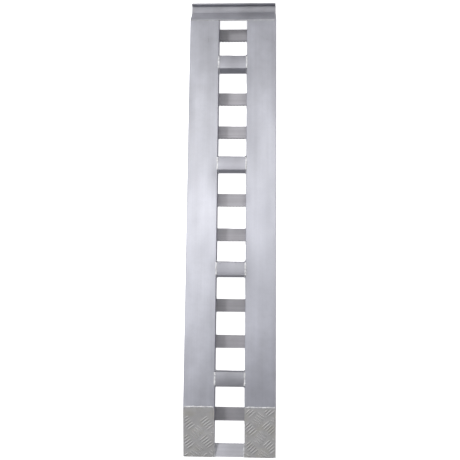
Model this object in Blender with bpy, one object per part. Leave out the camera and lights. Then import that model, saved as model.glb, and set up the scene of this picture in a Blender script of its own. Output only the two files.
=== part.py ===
"""Hook-end aluminium loading ramp for a trailer, lying on its drive side, underside up.

Two hollow planks are joined by a ladder of serrated channel rungs and full-depth square tubes.
A hook extrusion closes the trailer end and two tread plates close the bevelled foot.

Frame: metres. +X runs across the ramp, +Y from the foot to the hook, and +Z from the drive side
to the underside. The origin is the bottom centre of the ramp's box.
"""
import math

import bmesh
import bpy
from mathutils import Matrix

MM = 0.001

# Driving dimensions
RAMP_LENGTH = 1829 * MM         # foot tip to hook tip, a 6 ft ramp
RAMP_WIDTH = 352 * MM           # across both planks
RAMP_DEPTH = 60 * MM            # drive side ribs to underside
PLANK_WIDTH = 119 * MM
FIT_GAP = 0.3 * MM              # clearance between pieces that are welded together

# Plank extrusion: a two-cell box with grip ribs along its drive side
PLANK_WALL = 2.5 * MM
PLANK_CORNER_RADIUS = 2.5 * MM
RIB_COUNT = 13
RIB_WIDTH = 3 * MM
RIB_HEIGHT = 2 * MM

# Bevelled foot and the tread plates that close it
BEVEL_LENGTH = 188 * MM
FOOT_TIP_DEPTH = 16 * MM
TREAD_PLATE_THICKNESS = 3.2 * MM

# Hook extrusion, measured along the ramp from the foot tip
HOOK_WIDTH = 350 * MM
HOOK_FLANGE_START = 1734 * MM   # where the planks' underside walls end
HOOK_WEB_START = 1740 * MM
HOOK_WEB_END = 1793 * MM
HOOK_FLANGE_THICKNESS = 3.5 * MM
HOOK_WEB_THICKNESS = 4 * MM
HOOK_PLATE_THICKNESS = 6 * MM
HOOK_LIP_THICKNESS = 7 * MM
HOOK_LIP_HEIGHT = 22 * MM
HOOK_LIP_ROUNDING = 1.5 * MM

# Ladder between the planks
FOOT_RUNG_CENTRE = 26 * MM
END_PITCH = 135 * MM            # the two pitches nearest the foot and the one below the top rung
MIDDLE_PITCH = 140 * MM
MIDDLE_STATIONS = 10
TUBE_EVERY = 3                  # every third middle station holds a full-depth tube, not a rung
RUNG_WIDTH = 50 * MM
RUNG_DEPTH = 13 * MM
RUNG_WALL = 3 * MM
TOOTH_COUNT = 9
TOOTH_DEPTH = 5 * MM
TOOTH_TIP = 2 * MM
TUBE_WIDTH = 58 * MM
TUBE_WALL = 3 * MM
TUBE_CORNER_RADIUS = 4 * MM

# Weld beads
BEAD_WIDTH = 7 * MM
BEAD_HEIGHT = 1.6 * MM
FILLET_LEG = 4 * MM
BEAD_END_MARGIN = 3 * MM

ARC_STEPS = 4                   # straight steps in a quarter turn

SIDES = (("left", -1), ("right", 1))

# Derived places
CENTRE_GAP = RAMP_WIDTH - 2 * PLANK_WIDTH
PLANK_CENTRE = (CENTRE_GAP + PLANK_WIDTH) / 2
MEMBER_LENGTH = CENTRE_GAP - 2 * FIT_GAP
FOOT_Y = -RAMP_LENGTH / 2
BEVEL_SLOPE = (RAMP_DEPTH - FOOT_TIP_DEPTH) / BEVEL_LENGTH
TREAD_PLATE_DROP = TREAD_PLATE_THICKNESS * math.hypot(1, BEVEL_SLOPE)


def clear_scene():
    """Remove every object that a new file starts with."""
    for obj in list(bpy.data.objects):
        bpy.data.objects.remove(obj, do_unlink=True)


def new_collection(name):
    collection = bpy.data.collections.new(name)
    bpy.context.scene.collection.children.link(collection)
    return collection


def new_material(name, colour, roughness, metallic):
    material = bpy.data.materials.new(name)
    material.use_nodes = True
    shader = material.node_tree.nodes["Principled BSDF"]
    shader.inputs["Base Color"].default_value = (*colour, 1.0)
    shader.inputs["Roughness"].default_value = roughness
    shader.inputs["Metallic"].default_value = metallic
    return material


def arc(centre_x, centre_y, radius, start, end, steps=ARC_STEPS):
    """Points on an arc from one angle to another, in degrees."""
    points = []
    for step in range(steps + 1):
        angle = math.radians(start + (end - start) * step / steps)
        points.append((centre_x + radius * math.cos(angle), centre_y + radius * math.sin(angle)))
    return points


def rounded_rectangle(left, bottom, right, top, radius):
    """Counter-clockwise outline of a rectangle with rounded corners."""
    outline = arc(right - radius, bottom + radius, radius, -90, 0)
    outline += arc(right - radius, top - radius, radius, 0, 90)
    outline += arc(left + radius, top - radius, radius, 90, 180)
    outline += arc(left + radius, bottom + radius, radius, 180, 270)
    return outline


# An outline's own x and y lie along these directions, and it is extruded along the third.
ALONG_Y = Matrix(((1, 0, 0), (0, 0, -1), (0, 1, 0))).to_4x4()    # outline in X and Z
ALONG_X = Matrix(((0, 0, 1), (1, 0, 0), (0, 1, 0))).to_4x4()     # outline in Y and Z


def extruded_mesh(name, outlines, length, turn):
    """A closed mesh from an outline, with its holes, extruded both ways from its plane."""
    curve = bpy.data.curves.new(name, "CURVE")
    curve.dimensions = "2D"
    curve.fill_mode = "BOTH"
    curve.extrude = length / 2
    for outline in outlines:
        spline = curve.splines.new("POLY")
        spline.points.add(len(outline) - 1)
        for point, (x, y) in zip(spline.points, outline):
            point.co = (x, y, 0, 1)
        spline.use_cyclic_u = True
    guide = bpy.data.objects.new(name, curve)
    bpy.context.scene.collection.objects.link(guide)
    mesh = bpy.data.meshes.new_from_object(guide.evaluated_get(bpy.context.evaluated_depsgraph_get()))
    bpy.data.objects.remove(guide, do_unlink=True)
    mesh.name = name
    join_caps(mesh)
    mesh.transform(turn)
    return mesh


def join_caps(mesh):
    """Join an extruded curve's loose caps to its sides, with no needle-thin triangles in them."""
    bm = bmesh.new()
    bm.from_mesh(mesh)
    bmesh.ops.remove_doubles(bm, verts=bm.verts, dist=0.00001)
    caps = [face for face in bm.faces if all(vert.co.z * face.verts[0].co.z > 0 for vert in face.verts)]
    inner_edges = [edge for edge in bm.edges if all(face in caps for face in edge.link_faces)]
    bmesh.ops.beautify_fill(bm, faces=caps, edges=inner_edges)
    bmesh.ops.recalc_face_normals(bm, faces=bm.faces)
    bm.to_mesh(mesh)
    bm.free()


def new_cutter(name, mesh, collection):
    cutter = bpy.data.objects.new(name, mesh)
    cutter.hide_render = True
    cutter.display_type = "WIRE"
    collection.objects.link(cutter)
    return cutter


def cut_mesh(name, mesh, cutters):
    """The mesh with every cutter taken away from it."""
    blank = bpy.data.objects.new(name, mesh)
    bpy.context.scene.collection.objects.link(blank)
    for cutter in cutters:
        boolean = blank.modifiers.new(cutter.name, "BOOLEAN")
        boolean.operation = "DIFFERENCE"
        boolean.solver = "EXACT"
        boolean.object = cutter
    result = bpy.data.meshes.new_from_object(blank.evaluated_get(bpy.context.evaluated_depsgraph_get()))
    bpy.data.objects.remove(blank, do_unlink=True)
    result.name = name
    return result


def add_piece(name, mesh, material, collection, location=(0, 0, 0)):
    """A named piece of the ramp with round edges shaded smooth."""
    if not mesh.materials:
        mesh.materials.append(material)
    mesh.shade_smooth()
    mesh.set_sharp_from_angle(angle=math.radians(30))
    piece = bpy.data.objects.new(name, mesh)
    piece.location = location
    collection.objects.link(piece)
    return piece


def plank_outline():
    """Outer outline of the plank: rounded upper corners and grip ribs underneath."""
    half = PLANK_WIDTH / 2
    radius = PLANK_CORNER_RADIUS
    outline = arc(half - radius, RAMP_DEPTH - radius, radius, 0, 90)
    outline += arc(-half + radius, RAMP_DEPTH - radius, radius, 90, 180)
    outline.append((-half, 0))
    rib_pitch = (PLANK_WIDTH - RIB_WIDTH) / (RIB_COUNT - 1)
    for rib in range(RIB_COUNT):
        left = -half + rib * rib_pitch
        if rib > 0:
            outline += [(left, RIB_HEIGHT), (left, 0)]
        if rib < RIB_COUNT - 1:
            outline += [(left + RIB_WIDTH, 0), (left + RIB_WIDTH, RIB_HEIGHT)]
    outline.append((half, 0))
    return outline


def plank_cells():
    """Outlines of the two cells on either side of the plank's middle web."""
    half = PLANK_WIDTH / 2
    bottom = RIB_HEIGHT + PLANK_WALL
    top = RAMP_DEPTH - PLANK_WALL
    inner = PLANK_WALL / 2
    radius = PLANK_WALL / 2
    left_cell = rounded_rectangle(-half + PLANK_WALL, bottom, -inner, top, radius)
    right_cell = rounded_rectangle(inner, bottom, half - PLANK_WALL, top, radius)
    return [left_cell, right_cell]


def foot_cut_outline():
    """Side view of what the bevel takes off the planks' foot end."""
    beyond = 10 * MM
    seat = TREAD_PLATE_DROP + FIT_GAP
    step = BEVEL_LENGTH + FIT_GAP
    low = FOOT_TIP_DEPTH - seat
    return [
        (FOOT_Y - beyond, low - beyond * BEVEL_SLOPE),
        (FOOT_Y + step, low + step * BEVEL_SLOPE),
        (FOOT_Y + step, RAMP_DEPTH + beyond),
        (FOOT_Y - beyond, RAMP_DEPTH + beyond),
    ]


def hook_web_offset(distance):
    """How far the hook web's sloping line moves along Y and Z when offset by a distance."""
    run = HOOK_WEB_END - HOOK_WEB_START
    fall = RAMP_DEPTH - HOOK_PLATE_THICKNESS
    slant = math.hypot(run, fall)
    return -distance * fall / slant, -distance * run / slant


def hook_web_y(height, distance):
    """Y of the hook web's line, offset inwards by a distance, at a height above the drive side."""
    run = HOOK_WEB_END - HOOK_WEB_START
    fall = RAMP_DEPTH - HOOK_PLATE_THICKNESS
    shift_y, shift_z = hook_web_offset(distance)
    drop = RAMP_DEPTH + shift_z - height
    return FOOT_Y + HOOK_WEB_START + shift_y + drop * run / fall


def hook_cut_outline():
    """Side view of what is cut off the planks' trailer end to seat the hook extrusion."""
    beyond = 10 * MM
    flange_end = FOOT_Y + HOOK_FLANGE_START - FIT_GAP
    under_flange = RAMP_DEPTH - HOOK_FLANGE_THICKNESS - FIT_GAP
    clear = HOOK_WEB_THICKNESS + FIT_GAP
    plate_start = hook_web_y(HOOK_PLATE_THICKNESS, clear)
    far_end = -FOOT_Y + beyond
    return [
        (flange_end, RAMP_DEPTH + beyond),
        (flange_end, under_flange),
        (hook_web_y(under_flange, clear), under_flange),
        (plate_start, HOOK_PLATE_THICKNESS),
        (plate_start, -beyond),
        (far_end, -beyond),
        (far_end, RAMP_DEPTH + beyond),
    ]


def hook_outline():
    """Side view of the hook: flange, sloping web, trailer plate and upturned lip."""
    tip = -FOOT_Y
    lip_inner = tip - HOOK_LIP_THICKNESS
    rounding = HOOK_LIP_ROUNDING
    under_flange = RAMP_DEPTH - HOOK_FLANGE_THICKNESS
    plate_start = hook_web_y(HOOK_PLATE_THICKNESS, HOOK_WEB_THICKNESS)
    lip_top = HOOK_LIP_HEIGHT - rounding
    outline = [
        (FOOT_Y + HOOK_FLANGE_START, under_flange),
        (hook_web_y(under_flange, HOOK_WEB_THICKNESS), under_flange),
        (plate_start, HOOK_PLATE_THICKNESS),
        (plate_start, 0),
    ]
    outline += arc(tip - rounding, rounding, rounding, -90, 0)
    outline += arc(tip - rounding, lip_top, rounding, 0, 90)
    outline += arc(lip_inner + rounding, lip_top, rounding, 90, 180)
    outline += reversed(arc(lip_inner - rounding, HOOK_PLATE_THICKNESS + rounding, rounding, -90, 0))
    outline += [
        (FOOT_Y + HOOK_WEB_END, HOOK_PLATE_THICKNESS),
        (FOOT_Y + HOOK_WEB_START, RAMP_DEPTH),
        (FOOT_Y + HOOK_FLANGE_START, RAMP_DEPTH),
    ]
    return outline


def rung_outline():
    """Side view of the channel rung: web on the underside, flanges towards the drive side."""
    half = RUNG_WIDTH / 2
    inner = half - RUNG_WALL
    web = RUNG_DEPTH - RUNG_WALL
    return [
        (-half, 0),
        (-inner, 0),
        (-inner, web),
        (inner, web),
        (inner, 0),
        (half, 0),
        (half, RUNG_DEPTH),
        (-half, RUNG_DEPTH),
    ]


def tooth_cut_outline():
    """Saw-tooth outline whose peaks notch the free edges of the rung's flanges."""
    half = CENTRE_GAP / 2
    below = -4 * MM
    pitch = MEMBER_LENGTH / TOOTH_COUNT
    outline = [(half, below), (half, 0)]
    for tooth in range(TOOTH_COUNT):
        middle = MEMBER_LENGTH / 2 - (tooth + 0.5) * pitch
        reach = (pitch - TOOTH_TIP) / 2
        outline += [(middle + reach, 0), (middle, TOOTH_DEPTH), (middle - reach, 0)]
    outline += [(-half, 0), (-half, below)]
    return outline


def bead_outline(width, height):
    """End view of a weld bead laid on a flat seam."""
    outline = []
    steps = 2 * ARC_STEPS
    for step in range(steps + 1):
        angle = math.pi * step / steps
        outline.append((width / 2 * math.cos(angle), height * math.sin(angle)))
    return outline


def fillet_outline(leg):
    """End view of a fillet weld in an inside corner."""
    return [(0, 0), (leg, 0), (leg * 0.6, leg * 0.6), (0, leg)]


def station_y(centre):
    """Y of a ladder piece from its distance to the foot tip."""
    return FOOT_Y + centre


def ladder_stations():
    """Centre distances of the rungs and of the full-depth tubes, from the foot upwards."""
    first = FOOT_RUNG_CENTRE + 2 * END_PITCH
    middle = [first + station * MIDDLE_PITCH for station in range(MIDDLE_STATIONS)]
    tubes = middle[::TUBE_EVERY]
    rungs = [FOOT_RUNG_CENTRE, FOOT_RUNG_CENTRE + END_PITCH]
    rungs += [centre for centre in middle if centre not in tubes]
    rungs.append(middle[-1] + END_PITCH)
    return rungs, tubes


def build_planks(collection, cutters, material):
    foot_cut = new_cutter(
        "foot_bevel_cutter",
        extruded_mesh("foot_bevel_cutter", [foot_cut_outline()], RAMP_WIDTH, ALONG_X),
        cutters,
    )
    hook_cut = new_cutter(
        "hook_seat_cutter",
        extruded_mesh("hook_seat_cutter", [hook_cut_outline()], RAMP_WIDTH, ALONG_X),
        cutters,
    )
    blank = extruded_mesh("plank_blank", [plank_outline(), *plank_cells()], RAMP_LENGTH, ALONG_Y)
    mesh = cut_mesh("plank", blank, [foot_cut, hook_cut])
    for side, sign in SIDES:
        add_piece(f"{side}_plank", mesh, material, collection, (sign * PLANK_CENTRE, 0, 0))


def build_hook(collection, material):
    mesh = extruded_mesh("hook", [hook_outline()], HOOK_WIDTH, ALONG_X)
    add_piece("hook_extrusion", mesh, material, collection)


def build_ladder(collection, cutters, material):
    tooth_cut = new_cutter(
        "rung_tooth_cutter",
        extruded_mesh("rung_tooth_cutter", [tooth_cut_outline()], RUNG_WIDTH + 10 * MM, ALONG_Y),
        cutters,
    )
    blank = extruded_mesh("rung_blank", [rung_outline()], MEMBER_LENGTH, ALONG_X)
    rung_mesh = cut_mesh("rung", blank, [tooth_cut])
    half_width = TUBE_WIDTH / 2
    outer = rounded_rectangle(-half_width, RIB_HEIGHT, half_width, RAMP_DEPTH, TUBE_CORNER_RADIUS)
    inner = rounded_rectangle(
        -half_width + TUBE_WALL,
        RIB_HEIGHT + TUBE_WALL,
        half_width - TUBE_WALL,
        RAMP_DEPTH - TUBE_WALL,
        TUBE_CORNER_RADIUS - TUBE_WALL,
    )
    tube_mesh = extruded_mesh("cross_tube", [outer, inner], MEMBER_LENGTH, ALONG_X)
    rungs, tubes = ladder_stations()
    for number, centre in enumerate(rungs):
        name = f"rung_{number}" if number else "foot_rung"
        add_piece(name, rung_mesh, material, collection, (0, station_y(centre), 0))
    for number, centre in enumerate(tubes, start=1):
        add_piece(f"cross_tube_{number}", tube_mesh, material, collection, (0, station_y(centre), 0))


def build_tread_plates(collection, material):
    top = FOOT_Y + BEVEL_LENGTH
    outline = [
        (FOOT_Y, FOOT_TIP_DEPTH - TREAD_PLATE_DROP),
        (top, RAMP_DEPTH - TREAD_PLATE_DROP),
        (top, RAMP_DEPTH),
        (FOOT_Y, FOOT_TIP_DEPTH),
    ]
    mesh = extruded_mesh("tread_plate", [outline], PLANK_WIDTH, ALONG_X)
    for side, sign in SIDES:
        add_piece(f"{side}_tread_plate", mesh, material, collection, (sign * PLANK_CENTRE, 0, 0))


def build_bead(name, length, spot, material, collection, across=False):
    """A weld bead on the underside that runs along a seam, or across the ramp."""
    mesh = extruded_mesh(name, [bead_outline(BEAD_WIDTH, BEAD_HEIGHT)], length, ALONG_Y)
    x, y = spot
    bead = add_piece(name, mesh, material, collection, (x, y, RAMP_DEPTH + FIT_GAP))
    if across:
        bead.rotation_euler.z = math.pi / 2


def build_seam_welds(collection, material):
    """Beads across each plank: one at the hook's flange and one above the tread plate."""
    length = PLANK_WIDTH - 2 * BEAD_END_MARGIN
    hook_seam = FOOT_Y + HOOK_FLANGE_START
    plate_seam = FOOT_Y + BEVEL_LENGTH + BEAD_WIDTH / 2
    for side, sign in SIDES:
        x = sign * PLANK_CENTRE
        build_bead(f"{side}_hook_weld", length, (x, hook_seam), material, collection, True)
        build_bead(f"{side}_tread_plate_weld", length, (x, plate_seam), material, collection, True)


def build_cross_tube_welds(collection, material):
    """Beads along both ends of each tube, where it meets the planks."""
    length = TUBE_WIDTH - 2 * BEAD_END_MARGIN
    tubes = ladder_stations()[1]
    for number, centre in enumerate(tubes, start=1):
        for side, sign in SIDES:
            spot = (sign * CENTRE_GAP / 2, station_y(centre))
            build_bead(f"cross_tube_{number}_{side}_weld", length, spot, material, collection)


def build_foot_rung_welds(collection, material):
    """Fillets between the foot rung's web and the planks' inner walls."""
    length = RUNG_WIDTH - 2 * FIT_GAP
    mesh = extruded_mesh("foot_fillet", [fillet_outline(FILLET_LEG)], length, ALONG_Y)
    for side, sign in SIDES:
        spot = (sign * MEMBER_LENGTH / 2, station_y(FOOT_RUNG_CENTRE), RUNG_DEPTH + FIT_GAP)
        fillet = add_piece(f"foot_rung_{side}_weld", mesh, material, collection, spot)
        fillet.rotation_euler.z = 0 if side == "left" else math.pi


def main():
    clear_scene()
    ramp = new_collection("loading_ramp")
    cutters = new_collection("cutters")
    mill_finish = new_material("mill_finish_aluminium", (0.62, 0.63, 0.67), 0.42, 1.0)
    tread_finish = new_material("tread_plate_aluminium", (0.50, 0.49, 0.47), 0.5, 1.0)
    weld_finish = new_material("weld_bead_aluminium", (0.78, 0.78, 0.80), 0.35, 1.0)
    build_planks(ramp, cutters, mill_finish)
    build_hook(ramp, mill_finish)
    build_ladder(ramp, cutters, mill_finish)
    build_tread_plates(ramp, tread_finish)
    build_seam_welds(ramp, weld_finish)
    build_cross_tube_welds(ramp, weld_finish)
    build_foot_rung_welds(ramp, weld_finish)


main()
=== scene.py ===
"""Looks of a hook-end aluminium loading ramp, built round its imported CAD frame.

Frame: metres. +X runs across the ramp, +Y from the foot to the hook, and +Z from the drive side
to the underside, which faces up.
"""
import math

import bmesh
import bpy
import numpy as np
from mathutils import Matrix, Vector


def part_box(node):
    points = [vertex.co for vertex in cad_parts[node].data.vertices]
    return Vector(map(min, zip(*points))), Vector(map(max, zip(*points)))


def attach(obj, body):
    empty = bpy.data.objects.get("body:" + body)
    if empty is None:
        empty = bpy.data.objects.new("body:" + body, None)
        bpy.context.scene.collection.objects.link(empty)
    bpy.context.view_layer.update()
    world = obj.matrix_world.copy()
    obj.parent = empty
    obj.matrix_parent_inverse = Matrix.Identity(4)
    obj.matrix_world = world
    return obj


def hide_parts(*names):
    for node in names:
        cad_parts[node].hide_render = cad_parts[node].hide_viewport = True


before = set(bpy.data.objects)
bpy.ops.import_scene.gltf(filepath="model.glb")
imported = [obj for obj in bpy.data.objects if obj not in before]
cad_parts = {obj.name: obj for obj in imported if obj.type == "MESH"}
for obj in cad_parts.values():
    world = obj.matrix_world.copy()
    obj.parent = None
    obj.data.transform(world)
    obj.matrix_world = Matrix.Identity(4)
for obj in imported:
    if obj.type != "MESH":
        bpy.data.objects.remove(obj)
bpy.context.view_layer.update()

MM = 0.001
SIDES = (("left", -1), ("right", 1))

# Camera: high above the ramp, a little towards its right and its foot; angles in degrees
CAMERA_PLACE = (0.1027, -0.4079, 2.6889)
CAMERA_PITCH = 7.831
CAMERA_PAN = 2.307
CAMERA_ROLL = 0.258
CAMERA_LENS = 53.05
CAMERA_SENSOR = 36
CAMERA_CLIP = 100

STAGE_RADIUS = 20.0
FLOOR_GAP = 0.2 * MM
FLOOR_GLOW = 0.92
FLOOR_DIFFUSE = 0.8
BACKDROP_GLOW = 0.98
BACKDROP_SHARE = 0.95           # the dome's radius as a share of the floor's reach

# Studio light by height: the Z of its direction, from straight down to straight up, and its level
SKY_LEVELS = ((-1.0, 0.20), (-0.5, 0.54), (0.0, 0.33), (0.3, 0.09), (0.6, 0.27), (1.0, 0.0))
SKY_TINT = (0.99, 1.0, 1.05)

# Soft boxes overhead: the slopes of their middle from the vertical, their spreads, level and colour
SOFT_BOXES = (
    ((0.0, 0.09), (1.5, 0.09), 0.88, (0.985, 1.0, 1.04)),
    ((0.0, 0.22), (1.5, 0.15), 1.95, (1.0, 0.995, 0.96)),
    ((0.0, -0.10), (1.5, 0.20), 0.13, (0.97, 1.0, 1.10)),
    ((-1.5, 1.00), (0.6, 0.50), 1.90, (1.0, 1.0, 1.0)),
)
LOWEST_RISE = 0.05              # keeps those slopes finite at and below the horizon

# Soft key light from the left of the hook, which throws the left plank's shadow on to the recessed
# rungs; the metal doesn't mirror it
KEY_PLACE = (-3.35, 3.60, 3.85)
KEY_SIZE = 0.9
KEY_POWER = 370

# Surface colours of the bare aluminium. The planks are one extrusion: the left one's lighter
# colour makes up for light that this studio doesn't give it
PLANK_TINTS = {"left": (0.602, 0.607, 0.669), "right": (0.526, 0.531, 0.591)}
# Brighter or duller patches, partly the metal's own cloudy oxide and partly painted light and shade
# that this studio doesn't give: X and Y of their middle, their reach along both, and gain
OXIDE_AND_PAINTED_LIGHT_PATCHES = {
    "left": (
        (-0.175, 0.45, 0.060, 0.60, 0.84),
        (-0.115, 0.00, 0.110, 0.28, 1.15),
        (-0.068, 0.180, 0.055, 0.14, 0.72),
        (-0.115, 0.075, 0.180, 0.07, 1.09),
        (-0.172, 0.205, 0.060, 0.10, 1.07),
        (-0.070, -0.19, 0.045, 0.09, 0.82),
        (-0.165, -0.42, 0.070, 0.16, 1.24),
    ),
    "right": (
        (0.115, 0.44, 0.160, 0.24, 1.15),
        (0.110, -0.28, 0.170, 0.20, 0.86),
        (0.062, 0.100, 0.050, 0.16, 0.88),
        (0.062, -0.215, 0.050, 0.10, 0.82),
        (0.172, 0.005, 0.050, 0.10, 1.12),
    ),
}
# How bright each rung and square tube is, from the foot to the hook: painted light and shade that
# this studio doesn't give
RUNG_PAINTED_LIGHT_TONES = (0.89, 1.02, 0.86, 0.97, 1.08, 1.06, 1.06, 0.80)
TUBE_PAINTED_LIGHT_TONES = (0.82, 0.95, 1.09, 0.93)
TUBE_TINT = (0.546, 0.546, 0.600)
RUNG_TINT = (0.436, 0.426, 0.456)
FOOT_TINT = (0.610, 0.606, 0.652)
HOOK_TINT = (0.490, 0.490, 0.532)
PLATE_TINT = (0.560, 0.552, 0.556)
STAIN_TINT = (0.550, 0.536, 0.505)
# The bars' lighter colour is partly polish from wear and partly a painted highlight on their tops
BAR_WEAR_AND_HIGHLIGHT_TINT = (0.680, 0.671, 0.675)
WELD_TINT = (0.900, 0.900, 0.915)
GROUND_WELD_TINT = (0.600, 0.600, 0.630)

# Procedural grain, in cells per metre: across it and along it
DIE_LINES = (1300, 5)
DIE_BANDS = (120, 1.2)
ROLLING_LINES = (700, 20)
SCRATCH_LINES = (900, 14)
SCRATCH_EDGE = (0.70, 0.78)      # only the noise's highest crests show as scratches
GRAIN_LEAN = 0.02               # keeps the tangent from lying exactly along a face's normal
NOISE_LOW = 0.3                 # nearly all of a noise's values lie between these two
NOISE_HIGH = 0.7

# Numbers of a Mix node's colour sockets
MIX_FIRST = 6
MIX_SECOND = 7
MIX_RESULT = 2

# Five-bar tread pattern: square groups of parallel bars, woven like a basket
GROUP_STEP = 36.3 * MM          # from one column or row of groups to the next
GROUP_COLUMNS = range(-1, 5)
GROUP_ROWS_END = 7
BARS_IN_GROUP = 5
BAR_PITCH = 10.2 * MM
BAR_LENGTH = 37 * MM
BAR_WIDTH = 4.6 * MM
RISING_BAR_HEIGHT = 1.9 * MM    # bars that run up to the right, seen from above
FALLING_BAR_HEIGHT = 2.6 * MM
BAR_ANGLE = 39.0
BAR_EDGE_MARGIN = 1.0 * MM
BAR_SUNK = 0.4 * MM
BAR_STEPS = 10
BAR_SPOKES = 7
BAR_BLUNTNESS = 3.2             # a higher power keeps a bar full until nearer its ends
BAR_END_SHARE = 0.04            # how full it still is at its very ends

# Weld beads
WELD_GAP = 0.3 * MM             # how far the CAD beads float above the metal they join
RUNG_FILLET_LEG = 2.5 * MM
TUBE_FILLET_LEG = 5 * MM
FILLET_START = 3 * MM
FILLET_STOP = 0.5 * MM
# A fillet bead's middle out of its corner, its width and its height, as shares of the leg
FOOT_FILLET_SHARES = (0.55, 1.5, 0.35)
UPRIGHT_FILLET_SHARES = (0.5, 1.4, 0.3)
RIPPLE_PITCH = 2.6 * MM
SWELL_PITCH = 11 * MM
SWELL_RATES = (6.28, 3.3)       # radians that a bead's two swells gain over the swell pitch
WANDER_RATE = 2.1
LUMP_PITCH = 7 * MM
BEAD_STEP = 0.65 * MM
BEAD_SUNK = 0.6 * MM
BEAD_SPOKES = 9
BEAD_END_SHARE = 0.06
HOOK_BEAD_SHARE = 0.45          # the hook's seams are ground back to low, narrow beads
# Tacks along the plates' ground edge, as shares of the plate's width
TACK_SPOTS = (("left", (0.28, 0.61, 0.97)), ("right", (0.06, 0.98)))
TACK_LENGTH = 9 * MM
TACK_WIDTH = 4 * MM
TACK_HEIGHT = 1.6 * MM
TACK_RISE = 3.2 * MM            # above the foot rung's upper face
TACK_LEAN = -0.3

# First seed of each kind of bead
FLAT_SEED = 1
FOOT_SEED = 101
UPRIGHT_SEED = 201
TACK_SEED = 301

EDGE_ROUNDING = 1.2 * MM
NOSE_RADIUS = 2.8 * MM
NOSE_SEGMENTS = 5
RUNG_ROUNDING = 1.4 * MM
ROUNDING_SEGMENTS = 2
TIP_MARGIN = 0.3 * MM
SHARP_ANGLE = 32                # degrees; flatter edges are shaded smooth
FLAT_ANGLE = 0.5                # degrees; CAD faces nearer than this to one plane are one face
MERGE_DISTANCE = 0.01 * MM


# ---------------------------------------------------------------- shader building

def add_node(tree, kind, inputs=None, **settings):
    """A shader node with its settings, and its inputs set to values or linked to sockets."""
    node = tree.nodes.new(kind)
    for key, value in settings.items():
        setattr(node, key, value)
    for socket, value in (inputs or {}).items():
        if isinstance(value, bpy.types.NodeSocket):
            tree.links.new(value, node.inputs[socket])
        else:
            node.inputs[socket].default_value = value
    return node


def stretched_noise(tree, scale, detail=3.0, turn=0.0, shift=0.0, roughness=0.5):
    """Noise with its own number of cells per metre along X, Y and Z, turned about Z in degrees."""
    place = add_node(tree, "ShaderNodeTexCoord").outputs["Object"]
    mapping = add_node(
        tree,
        "ShaderNodeMapping",
        {
            "Vector": place,
            "Rotation": (0, 0, math.radians(turn)),
            "Scale": scale,
            "Location": (shift,) * 3,
        },
        vector_type="POINT",
    )
    noise = add_node(
        tree,
        "ShaderNodeTexNoise",
        {"Vector": mapping.outputs[0], "Scale": 1.0, "Detail": detail, "Roughness": roughness},
    )
    return noise.outputs["Fac"]


def remap(tree, value, low, high, to_low, to_high):
    node = add_node(
        tree,
        "ShaderNodeMapRange",
        {"Value": value, "From Min": low, "From Max": high, "To Min": to_low, "To Max": to_high},
    )
    return node.outputs["Result"]


def vary(tree, noise, low, high):
    """Values between low and high that follow a noise."""
    return remap(tree, noise, NOISE_LOW, NOISE_HIGH, low, high)


def combine(tree, operation, first, second):
    return add_node(tree, "ShaderNodeMath", {0: first, 1: second}, operation=operation).outputs[0]


def tinted(tree, tint, factor):
    node = add_node(tree, "ShaderNodeVectorMath", {"Scale": factor}, operation="SCALE")
    node.inputs[0].default_value = tint
    return node.outputs[0]


def new_shader(name, metallic):
    material = bpy.data.materials.new(name)
    material.use_nodes = True
    tree = material.node_tree
    shader = tree.nodes["Principled BSDF"]
    shader.inputs["Metallic"].default_value = metallic
    return material, tree, shader


def along(grain, lines):
    """Cells per metre on X, Y and Z: few along the grain's axis and many across it."""
    fine, slow = lines
    return (slow, fine, fine) if grain == "X" else (fine, slow, fine)


def scratch_mask(tree, turn, shift):
    """Thin, short scratches that lie near one direction."""
    lines = stretched_noise(tree, along("Y", SCRATCH_LINES), 2.0, turn, shift)
    return remap(tree, lines, *SCRATCH_EDGE, 0.0, 1.0)


def oxide_and_painted_light_patch(tree, patch):
    """A smooth brighter or duller patch, partly oxide and partly painted light and shade: its X and
    Y, its reach along both, and its gain.
    """
    x, y, reach_x, reach_y, gain = patch
    place = add_node(tree, "ShaderNodeTexCoord").outputs["Object"]
    scale = (1 / reach_x, 1 / reach_y, 0)
    mapping = add_node(
        tree,
        "ShaderNodeMapping",
        {"Vector": place, "Scale": scale, "Location": (-x / reach_x, -y / reach_y, 0)},
        vector_type="POINT",
    )
    spot = add_node(
        tree,
        "ShaderNodeTexGradient",
        {0: mapping.outputs[0]},
        gradient_type="QUADRATIC_SPHERE",
    )
    return remap(tree, spot.outputs["Fac"], 0.0, 1.0, 1.0, gain)


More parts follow.
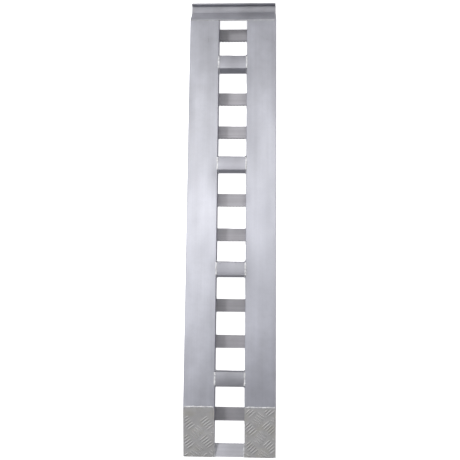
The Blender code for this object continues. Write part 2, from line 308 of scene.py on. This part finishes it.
def mill_finish(
    name, tint, grain, roughness, anisotropy, shift, metallic=0.75, patches=(), lines=0.02
):
    """Extruded aluminium: die lines along the grain, cloudy oxide and a few handling scratches."""
    material, tree, shader = new_shader(name, metallic)
    fine = stretched_noise(tree, along(grain, DIE_LINES), 3.0, 0, shift)
    bands = stretched_noise(tree, along(grain, DIE_BANDS), 2.0, 0, shift + 3.1)
    cloud = stretched_noise(tree, (14, 17, 14), 5.0, 25, shift + 7.7, 0.62)
    blotches = stretched_noise(tree, (13, 3.5, 13), 1.5, -12, shift + 5.3)
    scratches = combine(
        tree, "MAXIMUM", scratch_mask(tree, 12, shift), scratch_mask(tree, -37, shift + 5.0)
    )

    tone = vary(tree, bands, 1 - lines, 1 + lines)
    tone = combine(tree, "MULTIPLY", tone, vary(tree, cloud, 0.93, 1.07))
    tone = combine(tree, "MULTIPLY", tone, vary(tree, fine, 0.975, 1.02))
    tone = combine(tree, "MULTIPLY", tone, vary(tree, blotches, 0.89, 1.11))
    # Patches of painted light and shade, partly also the metal's own oxide
    for patch in patches:
        tone = combine(tree, "MULTIPLY", tone, oxide_and_painted_light_patch(tree, patch))
    tree.links.new(tinted(tree, tint, tone), shader.inputs["Base Color"])

    matt = combine(
        tree, "ADD", vary(tree, fine, -0.05, 0.05), vary(tree, cloud, -0.04, 0.06)
    )
    matt = combine(tree, "SUBTRACT", matt, combine(tree, "MULTIPLY", scratches, 0.08))
    tree.links.new(combine(tree, "ADD", matt, roughness), shader.inputs["Roughness"])

    height = combine(tree, "SUBTRACT", fine, combine(tree, "MULTIPLY", scratches, 0.7))
    relief = {"Height": height, "Strength": 0.12, "Distance": 0.15 * MM}
    bump = add_node(tree, "ShaderNodeBump", relief)
    tree.links.new(bump.outputs[0], shader.inputs["Normal"])

    shader.inputs["Anisotropic"].default_value = anisotropy
    direction = (GRAIN_LEAN, 1, GRAIN_LEAN) if grain == "X" else (1, GRAIN_LEAN, GRAIN_LEAN)
    tangent = add_node(tree, "ShaderNodeCombineXYZ", dict(zip("XYZ", direction)))
    tree.links.new(tangent.outputs[0], shader.inputs["Tangent"])
    return material


def tread_finish(name, tint, roughness, metallic, shift):
    """Rolled tread plate: warm, matt, mottled, with rolling lines and scuffs both ways."""
    material, tree, shader = new_shader(name, metallic)
    mottle = stretched_noise(tree, (60, 60, 60), 5.0, 0, shift, 0.65)
    cloud = stretched_noise(tree, (14, 14, 14), 3.0, 0, shift + 2.0)
    rolled = stretched_noise(tree, along("Y", ROLLING_LINES), 2.0, 0, shift + 4.0)
    scuffs = combine(
        tree, "MAXIMUM", scratch_mask(tree, 55, shift), scratch_mask(tree, -20, shift + 9.0)
    )

    tone = combine(
        tree, "MULTIPLY", vary(tree, mottle, 0.93, 1.06), vary(tree, cloud, 0.94, 1.05)
    )
    blots = stretched_noise(tree, (22, 26, 22), 3.0, 30, shift + 1.0)
    stains = remap(tree, blots, 0.50, 0.72, 0.0, 1.0)
    clean = tinted(tree, tint, tone)
    stained = tinted(tree, STAIN_TINT, tone)
    worn = add_node(
        tree,
        "ShaderNodeMix",
        {"Factor": stains, MIX_FIRST: clean, MIX_SECOND: stained},
        data_type="RGBA",
    )
    tree.links.new(worn.outputs[MIX_RESULT], shader.inputs["Base Color"])

    matt = vary(tree, mottle, -0.06, 0.06)
    matt = combine(tree, "SUBTRACT", matt, combine(tree, "MULTIPLY", scuffs, 0.1))
    tree.links.new(combine(tree, "ADD", matt, roughness), shader.inputs["Roughness"])

    height = combine(tree, "ADD", mottle, combine(tree, "MULTIPLY", rolled, 0.5))
    relief = {"Height": height, "Strength": 0.2, "Distance": 0.2 * MM}
    bump = add_node(tree, "ShaderNodeBump", relief)
    tree.links.new(bump.outputs[0], shader.inputs["Normal"])
    return material


def weld_finish(name, tint):
    """Weld metal: fine grit, greyer soot in patches, slightly rough."""
    material, tree, shader = new_shader(name, 0.6)
    grit = stretched_noise(tree, (900, 900, 900), 3.0)
    soot = stretched_noise(tree, (120, 120, 120), 2.0, 0, 6.0)
    sooty = remap(tree, soot, 0.35, 0.65, 0.82, 1.1)
    tone = combine(tree, "MULTIPLY", vary(tree, grit, 0.93, 1.05), sooty)
    tree.links.new(tinted(tree, tint, tone), shader.inputs["Base Color"])
    tree.links.new(vary(tree, grit, 0.26, 0.42), shader.inputs["Roughness"])
    relief = {"Height": grit, "Strength": 0.25, "Distance": 0.2 * MM}
    bump = add_node(tree, "ShaderNodeBump", relief)
    tree.links.new(bump.outputs[0], shader.inputs["Normal"])
    return material


# ---------------------------------------------------------------- pieces

def add_piece(name, bm, materials, slot, *nodes):
    """A finished mesh that rides on the ramp and stands for the CAD nodes named, if any."""
    mesh = bpy.data.meshes.new(name)
    bm.to_mesh(mesh)
    bm.free()
    for material in materials:
        mesh.materials.append(material)
    mesh.shade_smooth()
    mesh.set_sharp_from_angle(angle=math.radians(SHARP_ANGLE))
    piece = bpy.data.objects.new(name, mesh)
    bpy.context.scene.collection.objects.link(piece)
    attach(piece, "root")
    if nodes:
        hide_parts(*nodes)
    return piece


def round_edges(piece, width):
    bevel = piece.modifiers.new("rounded_edges", "BEVEL")
    bevel.width = width
    bevel.segments = ROUNDING_SEGMENTS
    bevel.limit_method = "ANGLE"
    bevel.angle_limit = math.radians(SHARP_ANGLE)


def solid_of(node):
    """The CAD node's solid with its flat faces whole."""
    bm = bmesh.new()
    bm.from_mesh(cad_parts[node].data)
    bmesh.ops.remove_doubles(bm, verts=bm.verts, dist=MERGE_DISTANCE)
    flat = math.radians(FLAT_ANGLE)
    bmesh.ops.dissolve_limit(bm, angle_limit=flat, verts=bm.verts, edges=bm.edges)
    return bm


def round_nose(bm):
    """Round the upper edge of the tread plate's ground end."""
    reach = min(vert.co.y for vert in bm.verts) + TIP_MARGIN
    at_tip = [vert for vert in bm.verts if vert.co.y < reach]
    lowest = max(vert.co.z for vert in at_tip) - TIP_MARGIN
    upper = {vert for vert in at_tip if vert.co.z > lowest}
    edges = [edge for edge in bm.edges if upper.issuperset(edge.verts)]
    bmesh.ops.bevel(
        bm, geom=edges, offset=NOSE_RADIUS, segments=NOSE_SEGMENTS, affect="EDGES", profile=0.5
    )


def refine(node, material, slot, rounding=0):
    """The CAD node's shape in its finished material, its sharp edges slightly rounded if asked."""
    piece = add_piece(f"{node}_finish", solid_of(node), [material], slot, node)
    if rounding:
        round_edges(piece, rounding)


def add_grid(bm, rows):
    """Faces between neighbouring rows of points, each row closed on itself, with capped ends."""
    rings = [[bm.verts.new(point) for point in row] for row in rows]
    for ring, following in zip(rings, rings[1:]):
        for index in range(len(ring)):
            after = (index + 1) % len(ring)
            bm.faces.new((ring[index], ring[after], following[after], following[index]))
    bm.faces.new(reversed(rings[0]))
    bm.faces.new(rings[-1])


def lump_height(lumps, distance):
    """Smooth rise and fall of the filler metal between the lumps' own levels, 0 to 1."""
    index, part = divmod(distance / LUMP_PITCH, 1.0)
    blend = (1 - math.cos(math.pi * part)) / 2
    level = lumps[int(index)] * (1 - blend) + lumps[int(index) + 1] * blend
    return 3 * level**2 - 2 * level**3


def add_bead(bm, start, end, out, width, height, seed):
    """A rippled weld bead along a seam: overlapping crescents, swelling and wandering a little."""
    start, end, out = Vector(start), Vector(end), Vector(out).normalized()
    run = end - start
    length = run.length
    forward = run.normalized()
    side = forward.cross(out).normalized()
    random = np.random.default_rng(seed)
    phase = random.uniform(0, SWELL_RATES[0], 4)
    lumps = random.uniform(0, 1, 3 + int(length / LUMP_PITCH))
    steps = max(12, round(length / BEAD_STEP))
    rows = []
    for step in range(steps + 1):
        distance = length * step / steps
        to_end = min(distance, length - distance) / (width / 2)
        taper = math.sqrt(max(0.0, 1 - (1 - min(1.0, to_end)) ** 2))
        taper = taper * (1 - BEAD_END_SHARE) + BEAD_END_SHARE
        swells = distance / SWELL_PITCH
        swell = math.sin(swells * SWELL_RATES[0] + phase[0]) * 0.6
        swell += math.sin(swells * SWELL_RATES[1] + phase[1]) * 0.4
        wander = 0.06 * width * math.sin(swells * WANDER_RATE + phase[2])
        lump = lump_height(lumps, distance)
        half_width = width / 2 * (1 + 0.10 * swell) * (0.6 + 0.5 * lump) * taper
        row = []
        for spoke in range(BEAD_SPOKES):
            across = 1 - 2 * spoke / (BEAD_SPOKES - 1)
            crescent = distance + 0.55 * RIPPLE_PITCH * (1 - across * across)
            ripple = (crescent / RIPPLE_PITCH + phase[3]) % 1.0
            rise = math.sqrt(1 - across * across)
            lift = height * (1 + 0.12 * swell) * taper * rise * (0.80 + 0.26 * ripple)
            lift *= 0.30 + 0.75 * lump
            sideways = side * (across * half_width + wander)
            row.append(start + forward * distance + sideways + out * lift)
        for across in (-1, 1):
            corner = side * (across * half_width * 0.9 + wander) - out * BEAD_SUNK
            row.append(start + forward * distance + corner)
        rows.append(row)
    add_grid(bm, rows)


def add_bar(bm, centre, direction, length, height, out):
    """A raised bar of tread plate: rounded on top and drawn in towards both ends."""
    side = direction.cross(out).normalized()
    rows = []
    for step in range(BAR_STEPS + 1):
        u = -math.cos(math.pi * step / BAR_STEPS)
        blunt = math.sqrt(max(0.0, 1 - abs(u) ** BAR_BLUNTNESS))
        fullness = blunt * (1 - BAR_END_SHARE) + BAR_END_SHARE
        half_width = BAR_WIDTH / 2 * fullness
        middle = centre + direction * (u * length / 2)
        row = []
        for spoke in range(BAR_SPOKES):
            share = 1 - 2 * spoke / (BAR_SPOKES - 1)
            lift = (1 - share * share) * height * fullness
            row.append(middle + side * (share * half_width) + out * lift)
        for share in (-1, 1):
            row.append(middle + side * (share * half_width) - out * BAR_SUNK)
        rows.append(row)
    add_grid(bm, rows)


def clipped_span(centre, direction, half, low, high):
    """How much of a line, as distances from its centre, stays inside a rectangle."""
    start, end = -half, half
    for axis in range(2):
        if abs(direction[axis]) < 1e-6:
            continue
        first = (low[axis] - centre[axis]) / direction[axis]
        last = (high[axis] - centre[axis]) / direction[axis]
        start = max(start, min(first, last))
        end = min(end, max(first, last))
    return start, end


def tread_groups(half_width, half_length, first_column, first_row, top_row):
    """Middle, lean and bar height of each group that lies on or just off the plate."""
    for column in GROUP_COLUMNS:
        for row in range(top_row, GROUP_ROWS_END):
            if (column + row) % 2:
                continue
            across = -half_width + first_column + column * GROUP_STEP
            up = half_length - first_row - row * GROUP_STEP
            rises = column % 2 == 0
            lean = BAR_ANGLE if rises else 180 - BAR_ANGLE
            height = RISING_BAR_HEIGHT if rises else FALLING_BAR_HEIGHT
            yield Vector((across, up)), lean, height


def build_tread_plate(side, plate_material, bar_material, first_column, first_row, turn, top_row):
    """A tread plate with its woven bars.

    The groups are counted from the plate's upper left corner. top_row is the first row that isn't
    worn smooth, and turn is the pattern's own small turn on the plate, in degrees.
    """
    node = f"{side}_tread_plate"
    low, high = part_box(node)
    bm = solid_of(node)
    upper = max(bm.faces, key=lambda face: face.calc_center_median().z * (face.normal.z > 0.5))
    out = upper.normal.copy()
    centre = upper.calc_center_median()
    across = Vector((1, 0, 0))
    up = out.cross(across).normalized()
    half_width = (high.x - low.x) / 2
    half_length = max(abs((vert.co - centre).dot(up)) for vert in upper.verts)
    inset = BAR_EDGE_MARGIN + BAR_WIDTH / 2
    limit = (half_width - inset, half_length - inset)
    round_nose(bm)
    turned = Matrix.Rotation(math.radians(turn), 2)
    bars = bmesh.new()
    groups = tread_groups(half_width, half_length, first_column, first_row, top_row)
    for middle, lean, height in groups:
        angle = math.radians(lean + turn)
        heading = Vector((math.cos(angle), math.sin(angle)))
        sideways = Vector((-heading.y, heading.x))
        for bar in range(BARS_IN_GROUP):
            offset = (bar - (BARS_IN_GROUP - 1) / 2) * BAR_PITCH
            spot = turned @ middle + sideways * offset
            start, end = clipped_span(spot, heading, BAR_LENGTH / 2, (-limit[0], -limit[1]), limit)
            if end - start < 2 * BAR_WIDTH:
                continue
            spot += heading * (start + end) / 2
            place = centre + across * spot.x + up * spot.y
            add_bar(bars, place, across * heading.x + up * heading.y, end - start, height, out)
    plate = add_piece(f"{node}_finish", bm, [plate_material], "tread_plate", node)
    round_edges(plate, EDGE_ROUNDING)
    add_piece(f"{side}_tread_bars", bars, [bar_material], "tread_plate")


def build_flat_welds(material, ground_material):
    """Beads over the seams that lie flush with the underside, and along the hook's ground seams."""
    seed = FLAT_SEED
    for node in sorted(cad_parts):
        if not node.endswith("_weld") or node.startswith("foot_rung"):
            continue
        low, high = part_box(node)
        middle = (low + high) / 2
        size = high - low
        lies_across = size.x > size.y
        half = Vector((size.x / 2, 0, 0)) if lies_across else Vector((0, size.y / 2, 0))
        base = Vector((middle.x, middle.y, low.z - WELD_GAP))
        width = size.y if lies_across else size.x
        is_ground = node.endswith("_hook_weld")
        share = HOOK_BEAD_SHARE if is_ground else 1.0
        bm = bmesh.new()
        add_bead(bm, base - half, base + half, (0, 0, 1), width * share, size.z * share, seed)
        finish = ground_material if is_ground else material
        add_piece(f"{node}_bead", bm, [finish], "weld_bead", node)
        seed += 1


def build_foot_rung_welds(material):
    """Fillets between the foot rung's web and the planks' inner walls."""
    place, width, height = FOOT_FILLET_SHARES
    for seed, (side, sign) in enumerate(SIDES, FOOT_SEED):
        node = f"foot_rung_{side}_weld"
        low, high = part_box(node)
        corner_x = low.x if sign < 0 else high.x
        out = Vector((-sign, 0, 1)).normalized()
        leg = high.z - low.z
        base = Vector((corner_x, 0, low.z)) + out * leg * place
        start = Vector((base.x, low.y, base.z))
        end = Vector((base.x, high.y, base.z))
        bm = bmesh.new()
        add_bead(bm, start, end, out, leg * width, leg * height, seed)
        add_piece(f"{node}_bead", bm, [material], "weld_bead", node)


def build_upright_fillets(name, nodes, leg, material):
    """Fillets that stand in the corners between the planks and some cross members."""
    place, width, height = UPRIGHT_FILLET_SHARES
    bm = bmesh.new()
    seed = UPRIGHT_SEED
    for node in nodes:
        low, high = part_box(node)
        for x, towards_x in ((low.x, 1), (high.x, -1)):
            for y, towards_y in ((low.y, -1), (high.y, 1)):
                out = Vector((towards_x, towards_y, 0)).normalized()
                base = Vector((x, y, 0)) + out * leg * place
                start = Vector((base.x, base.y, low.z + FILLET_START))
                end = Vector((base.x, base.y, high.z - FILLET_STOP))
                add_bead(bm, start, end, out, leg * width, leg * height, seed)
                seed += 1
    add_piece(name, bm, [material], "weld_bead")


def build_tack_welds(material):
    """Small tacks where the tread plates meet the plank tips."""
    bm = bmesh.new()
    seed = TACK_SEED
    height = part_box("foot_rung")[1].z + TACK_RISE
    half = Vector((TACK_LENGTH / 2, 0, 0))
    for side, shares in TACK_SPOTS:
        low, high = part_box(f"{side}_tread_plate")
        for share in shares:
            x = low.x + (high.x - low.x) * share
            x = min(max(x, low.x + half.x), high.x - half.x)
            middle = Vector((x, low.y + TACK_WIDTH / 2, height))
            out = (0, TACK_LEAN, 1)
            add_bead(bm, middle - half, middle + half, out, TACK_WIDTH, TACK_HEIGHT, seed)
            seed += 1
    add_piece("tip_tack_welds", bm, [material], "weld_bead")


# ---------------------------------------------------------------- stage, light and camera

def add_stage_piece(name, bm, glow_level, diffuse_level):
    """A pale surround that the metal neither mirrors nor takes light from."""
    mesh = bpy.data.meshes.new(name)
    bm.to_mesh(mesh)
    bm.free()
    piece = bpy.data.objects.new(name, mesh)
    bpy.context.scene.collection.objects.link(piece)
    material = bpy.data.materials.new(f"pale_{name}")
    material.use_nodes = True
    tree = material.node_tree
    tree.nodes.remove(tree.nodes["Principled BSDF"])
    glow = add_node(tree, "ShaderNodeEmission", {"Color": (1, 1, 1, 1), "Strength": glow_level})
    matt = add_node(tree, "ShaderNodeBsdfDiffuse", {"Color": (*[diffuse_level] * 3, 1)})
    both = add_node(tree, "ShaderNodeAddShader", {0: glow.outputs[0], 1: matt.outputs[0]})
    tree.links.new(both.outputs[0], tree.nodes["Material Output"].inputs["Surface"])
    mesh.materials.append(material)
    piece.visible_diffuse = False
    piece.visible_glossy = False
    return piece


def build_stage():
    """A pale floor, and a pale dome behind it."""
    bm = bmesh.new()
    bmesh.ops.create_grid(bm, x_segments=1, y_segments=1, size=STAGE_RADIUS)
    floor = add_stage_piece("floor", bm, FLOOR_GLOW, FLOOR_DIFFUSE)
    floor.location.z = -FLOOR_GAP
    bm = bmesh.new()
    bmesh.ops.create_icosphere(bm, subdivisions=4, radius=STAGE_RADIUS * BACKDROP_SHARE)
    dome = add_stage_piece("backdrop", bm, BACKDROP_GLOW, 0.0)
    dome.visible_shadow = False


def soft_box_glow(tree, axes, middle, spread, level, tint):
    """Light that is brightest in one direction above the ramp and fades smoothly around it."""
    above = combine(tree, "MAXIMUM", axes.outputs["Z"], LOWEST_RISE)
    squares = []
    for axis, centre, reach in zip("XY", middle, spread):
        slope = combine(tree, "DIVIDE", axes.outputs[axis], above)
        away = combine(tree, "DIVIDE", combine(tree, "SUBTRACT", slope, centre), reach)
        squares.append(combine(tree, "MULTIPLY", away, away))
    distance = combine(tree, "ADD", *squares)
    fall = combine(tree, "POWER", math.e, combine(tree, "MULTIPLY", distance, -1.0))
    return tinted(tree, [part * level for part in tint], fall)


def build_world():
    """A grey studio, brightest below the horizon, with soft boxes overhead."""
    world = bpy.data.worlds.new("studio")
    bpy.context.scene.world = world
    world.use_nodes = True
    tree = world.node_tree
    direction = add_node(tree, "ShaderNodeTexCoord").outputs["Generated"]
    axes = add_node(tree, "ShaderNodeSeparateXYZ", {0: direction})
    sky = add_node(tree, "ShaderNodeValToRGB", {"Fac": remap(tree, axes.outputs["Z"], -1, 1, 0, 1)})
    while len(sky.color_ramp.elements) < len(SKY_LEVELS):
        sky.color_ramp.elements.new(0.5)
    for element, (height, level) in zip(sky.color_ramp.elements, SKY_LEVELS):
        element.position = (height + 1) / 2
        element.color = (*(level * part for part in SKY_TINT), 1)
    light = sky.outputs["Color"]
    for middle, spread, level, tint in SOFT_BOXES:
        glow = soft_box_glow(tree, axes, middle, spread, level, tint)
        sum_node = add_node(tree, "ShaderNodeVectorMath", {0: light, 1: glow}, operation="ADD")
        light = sum_node.outputs[0]
    tree.links.new(light, tree.nodes["Background"].inputs["Color"])


def build_key_light():
    data = bpy.data.lights.new("key_softbox", "AREA")
    data.shape = "RECTANGLE"
    data.size = KEY_SIZE
    data.size_y = KEY_SIZE
    data.energy = KEY_POWER
    key = bpy.data.objects.new("key_softbox", data)
    key.location = KEY_PLACE
    key.rotation_euler = (-Vector(KEY_PLACE)).to_track_quat("-Z", "Y").to_euler()
    key.visible_glossy = False
    bpy.context.scene.collection.objects.link(key)


def build_camera():
    data = bpy.data.cameras.new("camera")
    data.lens = CAMERA_LENS
    data.sensor_width = CAMERA_SENSOR
    data.clip_end = CAMERA_CLIP
    camera = bpy.data.objects.new("camera", data)
    pitch = Matrix.Rotation(math.radians(CAMERA_PITCH), 4, "X")
    pan = Matrix.Rotation(math.radians(CAMERA_PAN), 4, "Y")
    roll = Matrix.Rotation(math.radians(CAMERA_ROLL), 4, "Z")
    camera.matrix_world = Matrix.Translation(CAMERA_PLACE) @ pitch @ pan @ roll
    bpy.context.scene.collection.objects.link(camera)
    bpy.context.scene.camera = camera


def build_planks():
    for side, sign in SIDES:
        plank = mill_finish(
            f"{side}_plank_aluminium",
            PLANK_TINTS[side],
            "Y",
            roughness=0.36,
            anisotropy=0.6,
            shift=31.0 * sign,
            patches=OXIDE_AND_PAINTED_LIGHT_PATCHES[side],
        )
        refine(f"{side}_plank", plank, "plank_extrusion")


def build_hook():
    finish = mill_finish(
        "hook_aluminium", HOOK_TINT, "X", roughness=0.40, anisotropy=0.4, shift=23.0
    )
    refine("hook_extrusion", finish, "hook_extrusion", EDGE_ROUNDING)


def build_ladder():
    """The foot rung, the recessed rungs and the square tubes, each rung and tube with its own tone
    of painted light and shade.
    """
    foot = mill_finish(
        "foot_rung_aluminium",
        FOOT_TINT,
        "X",
        roughness=0.40,
        anisotropy=0.1,
        shift=19.0,
        metallic=0.4,
        lines=0.06,
    )
    refine("foot_rung", foot, "cross_member", RUNG_ROUNDING)
    for number, tone in enumerate(RUNG_PAINTED_LIGHT_TONES, 1):
        rung = mill_finish(
            f"rung_{number}_aluminium",
            [part * tone for part in RUNG_TINT],
            "X",
            roughness=0.42,
            anisotropy=0.1,
            shift=17.0 + number,
            metallic=0.6,
            lines=0.09,
        )
        refine(f"rung_{number}", rung, "cross_member", RUNG_ROUNDING)
    for number, tone in enumerate(TUBE_PAINTED_LIGHT_TONES, 1):
        tube = mill_finish(
            f"tube_{number}_aluminium",
            [part * tone for part in TUBE_TINT],
            "X",
            roughness=0.40,
            anisotropy=0.1,
            shift=11.0 + number,
            lines=0.03,
        )
        refine(f"cross_tube_{number}", tube, "cross_member")


def build_tread_plates():
    plate = tread_finish(
        "tread_plate_aluminium", PLATE_TINT, roughness=0.52, metallic=0.35, shift=0.0
    )
    bar = tread_finish(
        "tread_bar_aluminium", BAR_WEAR_AND_HIGHLIGHT_TINT, roughness=0.34, metallic=0.55, shift=15.0
    )
    build_tread_plate(
        "left", plate, bar, first_column=17.5 * MM, first_row=-13 * MM, turn=0, top_row=2
    )
    build_tread_plate(
        "right", plate, bar, first_column=22 * MM, first_row=6 * MM, turn=4.5, top_row=-2
    )


def build_welds():
    weld = weld_finish("weld_metal", WELD_TINT)
    ground_weld = weld_finish("ground_weld_metal", GROUND_WELD_TINT)
    build_flat_welds(weld, ground_weld)
    build_foot_rung_welds(weld)
    rungs = sorted(f"rung_{number}" for number in range(1, len(RUNG_PAINTED_LIGHT_TONES) + 1))
    tubes = sorted(f"cross_tube_{number}" for number in range(1, len(TUBE_PAINTED_LIGHT_TONES) + 1))
    build_upright_fillets("rung_end_welds", rungs, RUNG_FILLET_LEG, weld)
    build_upright_fillets("tube_end_welds", tubes, TUBE_FILLET_LEG, weld)
    build_tack_welds(weld)


build_camera()
build_stage()
build_world()
build_key_light()
build_planks()
build_hook()
build_ladder()
build_tread_plates()
build_welds()
bpy.context.scene.view_settings.view_transform = "Standard"
